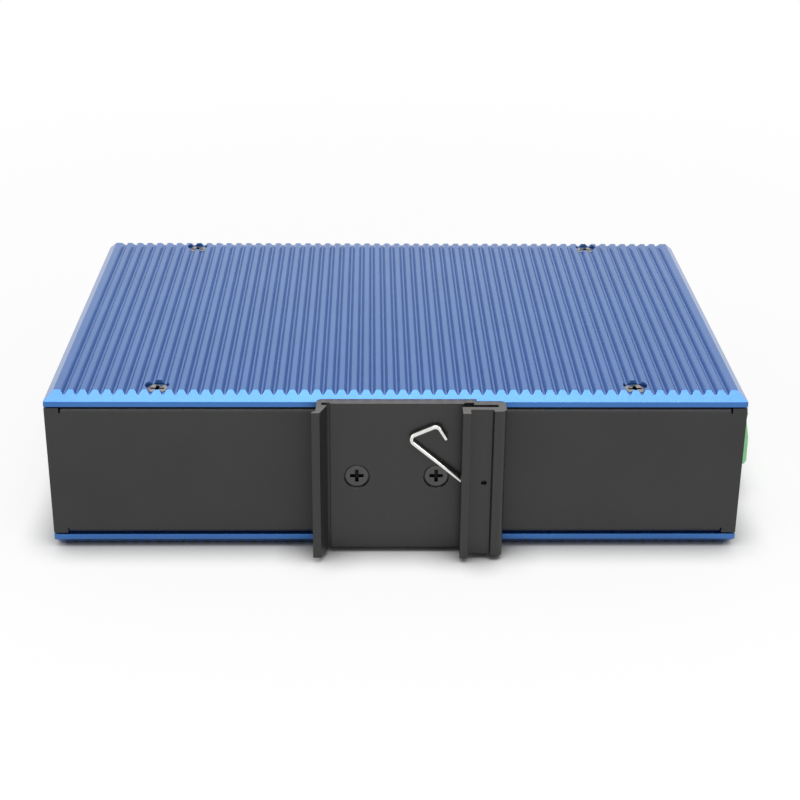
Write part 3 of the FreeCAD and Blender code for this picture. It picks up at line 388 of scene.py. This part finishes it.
# Each screw: axis and side of its head's top, below which shade is painted, then its two colours and its
# roughness range.
screw_finishes = {
    "top_cover_screws": (AXIS_Z, 1, *SCREW_GREYS, 0.26, 0.38),
    "bottom_cover_screws": (AXIS_Z, -1, *SCREW_GREYS, 0.26, 0.38),
    "panel_screws": (AXIS_Y, 1, *SCREW_GREYS, 0.26, 0.38),
    "clip_screws": (AXIS_Y, -1, *BLACK_GREYS, 0.2, 0.32),
}


def finish_of(name, slot):
    """A node's finish: outer screws, with painted shade in the cross of their heads, and jacks have their
    own, worked out from their boxes.
    """
    if name in screw_finishes:
        return screw_finish_with_painted_shade(name + "_finish", name, *screw_finishes[name])
    if slot == "jack_body":
        return jack_body(name + "_finish", name)
    return finishes[slot]


for entry in frame["record"]["subparts"]:
    material = finish_of(entry["node"], entry["material_slot"])
    for part in nodes[entry["node"]].material_slots:
        part.material = material


# Pieces

BEVEL_SEGMENTS = 2


def new_piece(name, mesh, material, bevel=0.0):
    """A piece fixed to the body of the switch, made of a mesh in millimetres."""
    data = bpy.data.meshes.new(name)
    mesh.to_mesh(data)
    mesh.free()
    data.transform(Matrix.Scale(MM, 4))
    data.materials.append(material)
    piece = bpy.data.objects.new(name, data)
    bpy.context.scene.collection.objects.link(piece)
    if bevel:
        rounding = piece.modifiers.new("rounding", "BEVEL")
        rounding.width = bevel * MM
        rounding.segments = BEVEL_SEGMENTS
        rounding.limit_method = "ANGLE"
    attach(piece, "switch_body")


def ribbon(mesh, points, half_width, thickness):
    """A bent strip along a centre line, with its half width as a vector."""
    rings = []
    for k, point in enumerate(points):
        ahead = points[min(k + 1, len(points) - 1)] - points[max(k - 1, 0)]
        out = ahead.cross(half_width).normalized() * (thickness / 2)
        corners = (half_width + out, out - half_width, -half_width - out, half_width - out)
        rings.append([mesh.verts.new(point + corner) for corner in corners])
    for one, two in zip(rings, rings[1:]):
        for k in range(4):
            mesh.faces.new((one[k], one[(k + 1) % 4], two[(k + 1) % 4], two[k]))
    mesh.faces.new(reversed(rings[0]))
    mesh.faces.new(rings[-1])


def slab(mesh, low, high):
    """A box between two corners."""
    made = bmesh.ops.create_cube(mesh, size=1.0)
    size, middle = high - low, (high + low) / 2
    for corner in made["verts"]:
        corner.co = corner.co * size + middle


def rim_frame(mesh, low, high, wall):
    """A rectangular ring in the XZ plane, as deep as its corners are apart in Y."""
    slab(mesh, low, Vector((low.x + wall, high.y, high.z)))
    slab(mesh, Vector((high.x - wall, low.y, low.z)), high)
    slab(mesh, Vector((low.x + wall, low.y, low.z)), Vector((high.x - wall, high.y, low.z + wall)))
    slab(mesh, Vector((low.x + wall, low.y, high.z - wall)), Vector((high.x - wall, high.y, high.z)))


# Stacked jacks: contact springs, status windows and the shield's folded rim.
# SPRING_LINE gives each point by its depth behind the mouth and its height off the port's wall.

PORT_WID, PORT_HT, PORT_LOW = 11.9, 8.2, 2.8
CONTACTS, CONTACT_PITCH = 8, 1.02
CONTACT_WID, CONTACT_THK = 0.42, 0.28
SPRING_LINE = ((2.6, 0.5), (3.4, 1.0), (6.5, 2.3), (9.6, 3.7), (10.6, 4.0), (11.4, 3.6), (12.2, 0.3))
RIM_BEHIND, RIM_PROUD = 0.4, 0.18
WINDOW = Vector((2.8, 0.5, 1.5))
WINDOW_GAP = 0.5


def contact_springs(mesh, middle, front, wall, into):
    """A row of springs that lean from one wall of a port into it."""
    for k in range(CONTACTS):
        x = middle + (k - (CONTACTS - 1) / 2) * CONTACT_PITCH
        points = [Vector((x, front - deep, wall + into * height)) for deep, height in SPRING_LINE]
        ribbon(mesh, points, Vector((CONTACT_WID / 2, 0, 0)), CONTACT_THK)


def jack_springs(name, low, high):
    springs = bmesh.new()
    middle = (low.x + high.x) / 2
    contact_springs(springs, middle, high.y, low.z + PORT_LOW + PORT_HT, -1)
    contact_springs(springs, middle, high.y, high.z - PORT_LOW - PORT_HT, 1)
    new_piece(name + "_springs", springs, gold)


def jack_rim(name, low, high):
    rim = bmesh.new()
    corners = Vector((low.x, high.y - RIM_BEHIND, low.z)), Vector((high.x, high.y + RIM_PROUD, high.z))
    rim_frame(rim, *corners, JACK_RIM)
    new_piece(name + "_rim", rim, finishes["cage_steel"], bevel=0.1)


def jack_windows(name, low, high, place, tint, side):
    """The two status windows on one side, under the lower port and over the upper one."""
    windows = bmesh.new()
    x = (low.x + high.x) / 2 + side * (PORT_WID - WINDOW.x) / 2
    off_port = WINDOW.z / 2 + WINDOW_GAP
    for z in (low.z + PORT_LOW - off_port, high.z - PORT_LOW + off_port):
        centre = Vector((x, high.y, z))
        slab(windows, centre - WINDOW / 2, centre + WINDOW / 2)
    new_piece(f"{name}_window_{place}", windows, tint, bevel=0.2)


for name in sorted(nodes):
    if name.startswith("jack_stack"):
        box = box_of(name)
        jack_springs(name, *box)
        jack_rim(name, *box)
        jack_windows(name, *box, "left", amber, -1)
        jack_windows(name, *box, "right", lime, 1)


# Module cages: spring fingers round the mouth, floor latch, and the connector at the back with its contacts.
# A LINE gives each point by how far back it is and how far it stands off. PIN_ROWS holds each row's height
# from the middle of the cage and which way its pins bend.

FINGER_WID, FINGER_LEN, FINGER_GAP, FINGER_THK = 2.0, 3.4, 0.55, 0.1
FINGER_LINE = ((0.0, 0.06), (0.3, 0.16), (1.2, 0.24), (2.4, 0.16), (FINGER_LEN, 0.06))
CAGE_FLOOR = 0.4
LATCH_WID, LATCH_THK = 5.2, 0.25
LATCH_LINE = ((9.0, 0.15), (6.0, 0.35), (4.2, 0.6))
SOCKET_BEHIND = 36.0
SOCKET_WID, SOCKET_DEEP, SOCKET_BELOW, SOCKET_ABOVE = 12.0, 7.0, 3.0, 2.4
SOCKET_WALL, SOCKET_INSET, SOCKET_BACK = 1.6, 1.0, 2.0
PINS, PIN_PITCH, PIN_WID, PIN_THK = 10, 0.8, 0.4, 0.15
PIN_LINE = ((5.0, 0.0), (2.5, 0.35), (0.8, 0.0))
PIN_ROWS = ((-1.25, 1), (0.65, -1))


def fingers(mesh, start, end, out):
    """Spring fingers side by side from start to end, bowed outwards and reaching back along Y."""
    span = end - start
    count = int(span.length // (FINGER_WID + FINGER_GAP))
    for k in range(count):
        foot = start + span * ((k + 0.5) / count)
        points = [foot + out * rise - Vector((0, back, 0)) for back, rise in FINGER_LINE]
        ribbon(mesh, points, span.normalized() * (FINGER_WID / 2), FINGER_THK)


def cage_fingers(name, low, high):
    tabs = bmesh.new()
    mouth = {(x, z): Vector((x, high.y, z)) for x in (low.x, high.x) for z in (low.z, high.z)}
    fingers(tabs, mouth[low.x, low.z], mouth[high.x, low.z], Vector((0, 0, -1)))
    fingers(tabs, mouth[low.x, high.z], mouth[high.x, high.z], Vector((0, 0, 1)))
    fingers(tabs, mouth[low.x, low.z], mouth[low.x, high.z], Vector((-1, 0, 0)))
    fingers(tabs, mouth[high.x, low.z], mouth[high.x, high.z], Vector((1, 0, 0)))
    new_piece(name + "_fingers", tabs, finishes["cage_steel"])


def cage_latch(name, low, high):
    latch = bmesh.new()
    foot = Vector(((low.x + high.x) / 2, high.y, low.z + CAGE_FLOOR))
    points = [foot + Vector((0, -back, rise)) for back, rise in LATCH_LINE]
    ribbon(latch, points, Vector((LATCH_WID / 2, 0, 0)), LATCH_THK)
    new_piece(name + "_latch", latch, finishes["cage_steel"])


def socket_mouth(low, high):
    """The middle of the connector's mouth, deep in the cage."""
    middle = (low + high) / 2
    return Vector((middle.x, high.y - SOCKET_BEHIND, middle.z))


def cage_socket(name, low, high):
    """The connector's moulding: a frame that is closed at its back."""
    socket = bmesh.new()
    mouth = socket_mouth(low, high)
    foot = mouth - Vector((SOCKET_WID / 2, SOCKET_DEEP, SOCKET_BELOW))
    top = mouth + Vector((SOCKET_WID / 2, 0, SOCKET_ABOVE))
    inset = Vector((SOCKET_INSET, 0, SOCKET_INSET))
    rim_frame(socket, foot, top, SOCKET_WALL)
    slab(socket, foot + inset, Vector((top.x, foot.y + SOCKET_BACK, top.z)) - inset)
    new_piece(name + "_socket", socket, finishes["black_moulding"], bevel=0.2)


def cage_contacts(name, low, high):
    rows = bmesh.new()
    mouth = socket_mouth(low, high)
    for k in range(PINS):
        across = (k - (PINS - 1) / 2) * PIN_PITCH
        for row, bend in PIN_ROWS:
            points = [mouth + Vector((across, -back, row + bend * rise)) for back, rise in PIN_LINE]
            ribbon(rows, points, Vector((PIN_WID / 2, 0, 0)), PIN_THK)
    new_piece(name + "_contacts", rows, gold)


for name in sorted(nodes):
    if name.startswith("module_cage"):
        box = box_of(name)
        cage_fingers(name, *box)
        cage_latch(name, *box)
        cage_socket(name, *box)
        cage_contacts(name, *box)


# Stage, lamps and camera. A lamp's place and size are in metres, its power in watts; angles are in degrees.

FLOOR_SIZE, FLOOR_SHIFT, FLOOR_GAP = 80000.0, 12000.0, 0.02
FLOOR_GREY, FLOOR_WHITE = 0.95, 0.75
SHADED_REACH, WHITE_REACH = 130.0, 420.0
# Painted contact shadow: ambient occlusion within CONTACT_REACH darkens the floor's white emission, from
# CONTACT_DARK to CONTACT_OPEN.
CONTACT_REACH, CONTACT_DARK, CONTACT_OPEN = 11.0, 0.3, 0.97
WORLD_LEVEL = 0.55
SEEN_RAYS = ("Is Camera Ray", "Is Glossy Ray", "Is Transmission Ray")
LAMPS = (
    ("overhead", (0.0, -0.55, 1.25), (1.0, 0.6), 8.8),
    ("left_fill", (-1.3, -0.9, 0.7), (0.8, 0.8), 3.0),
    ("right_fill", (1.3, -1.1, 0.6), (0.8, 0.8), 5.0),
)
CAMERA_LENS, CAMERA_NEAREST = 74.43, 10.0
CAMERA_PLACE = Vector((-6.17, -407.2, 197.9))
CAMERA_YAW, CAMERA_PITCH, CAMERA_ROLL = 1.12, 24.26, 0.5


def seen_directly(graph):
    """1 for rays from the camera and for reflected or refracted ones, else 0."""
    camera, glossy, through = (graph.add("ShaderNodeLightPath", output=word) for word in SEEN_RAYS)
    return camera.larger(glossy).larger(through)


def floor_look():
    """Paper mixed with white, with a painted contact shadow where the switch touches it (ambient occlusion
    darkens the white emission), and plain white further out.
    """
    graph = material_graph("pale_floor")
    paper = graph.add("ShaderNodeBsdfDiffuse", {"Color": colour(FLOOR_GREY, FLOOR_GREY, FLOOR_GREY)})
    # Painted contact shadow: the white emission turns grey where ambient occlusion finds the switch close
    # by.
    open_sky = graph.add("ShaderNodeAmbientOcclusion", {"Distance": CONTACT_REACH * MM}, output="AO")
    painted_contact_shadow = graph.spread(open_sky, start=CONTACT_DARK, end=CONTACT_OPEN)
    white = graph.add("ShaderNodeEmission", {"Color": painted_contact_shadow})
    reach = graph.add("ShaderNodeVectorMath", {0: graph.place()}, output="Value", operation="LENGTH")
    share = graph.spread(reach, FLOOR_WHITE, 1.0, SHADED_REACH, WHITE_REACH)
    look = graph.add("ShaderNodeMixShader", {0: share * seen_directly(graph), 1: paper, 2: white})
    graph.put(graph.tree.nodes["Material Output"].inputs["Surface"], look)
    return graph.owner


def make_floor():
    """A floor off centre, so that the seam between its two triangles runs clear of the switch."""
    mesh = bmesh.new()
    aside = Matrix.Translation((FLOOR_SHIFT * MM, 0, 0))
    bmesh.ops.create_grid(mesh, x_segments=1, y_segments=1, size=FLOOR_SIZE * MM / 2, matrix=aside)
    data = bpy.data.meshes.new("floor")
    mesh.to_mesh(data)
    mesh.free()
    data.materials.append(floor_look())
    floor = bpy.data.objects.new("floor", data)
    floor.location.z = cad_box[0].z - FLOOR_GAP * MM
    bpy.context.scene.collection.objects.link(floor)


def make_world():
    """White to the camera and in reflections, and a plain lower level of light on the switch."""
    world = bpy.data.worlds.new("studio")
    bpy.context.scene.world = world
    graph = Graph(world)
    background = graph.tree.nodes["Background"]
    graph.put(background.inputs["Color"], colour(1, 1, 1))
    graph.put(background.inputs["Strength"], WORLD_LEVEL + seen_directly(graph) * (1 - WORLD_LEVEL))


def make_lamp(name, place, size, power):
    """A soft box that faces the switch."""
    data = bpy.data.lights.new(name, "AREA")
    data.shape = "RECTANGLE"
    data.size, data.size_y = size
    data.energy = power
    lamp = bpy.data.objects.new(name, data)
    lamp.location = place
    lamp.rotation_euler = (-Vector(place)).to_track_quat("-Z", "Y").to_euler()
    bpy.context.scene.collection.objects.link(lamp)


def make_camera():
    """Nearly square to the rear wall, just left of its middle, looking down at the upper cover."""
    data = bpy.data.cameras.new("camera")
    data.lens = CAMERA_LENS
    data.clip_start = CAMERA_NEAREST * MM
    yaw, pitch, roll = (math.radians(angle) for angle in (CAMERA_YAW, CAMERA_PITCH, CAMERA_ROLL))
    ahead = Vector((math.sin(yaw) * math.cos(pitch), math.cos(yaw) * math.cos(pitch), -math.sin(pitch)))
    level = Vector((math.cos(yaw), -math.sin(yaw), 0))
    across = level * math.cos(roll) + level.cross(ahead) * math.sin(roll)
    turn = Matrix((across, across.cross(ahead), -ahead)).transposed()
    camera = bpy.data.objects.new("camera", data)
    camera.matrix_world = Matrix.Translation(CAMERA_PLACE * MM) @ turn.to_4x4()
    bpy.context.scene.collection.objects.link(camera)
    bpy.context.scene.camera = camera


make_floor()
make_world()
for lamp in LAMPS:
    make_lamp(*lamp)
make_camera()
bpy.context.scene.view_settings.view_transform = "Standard"
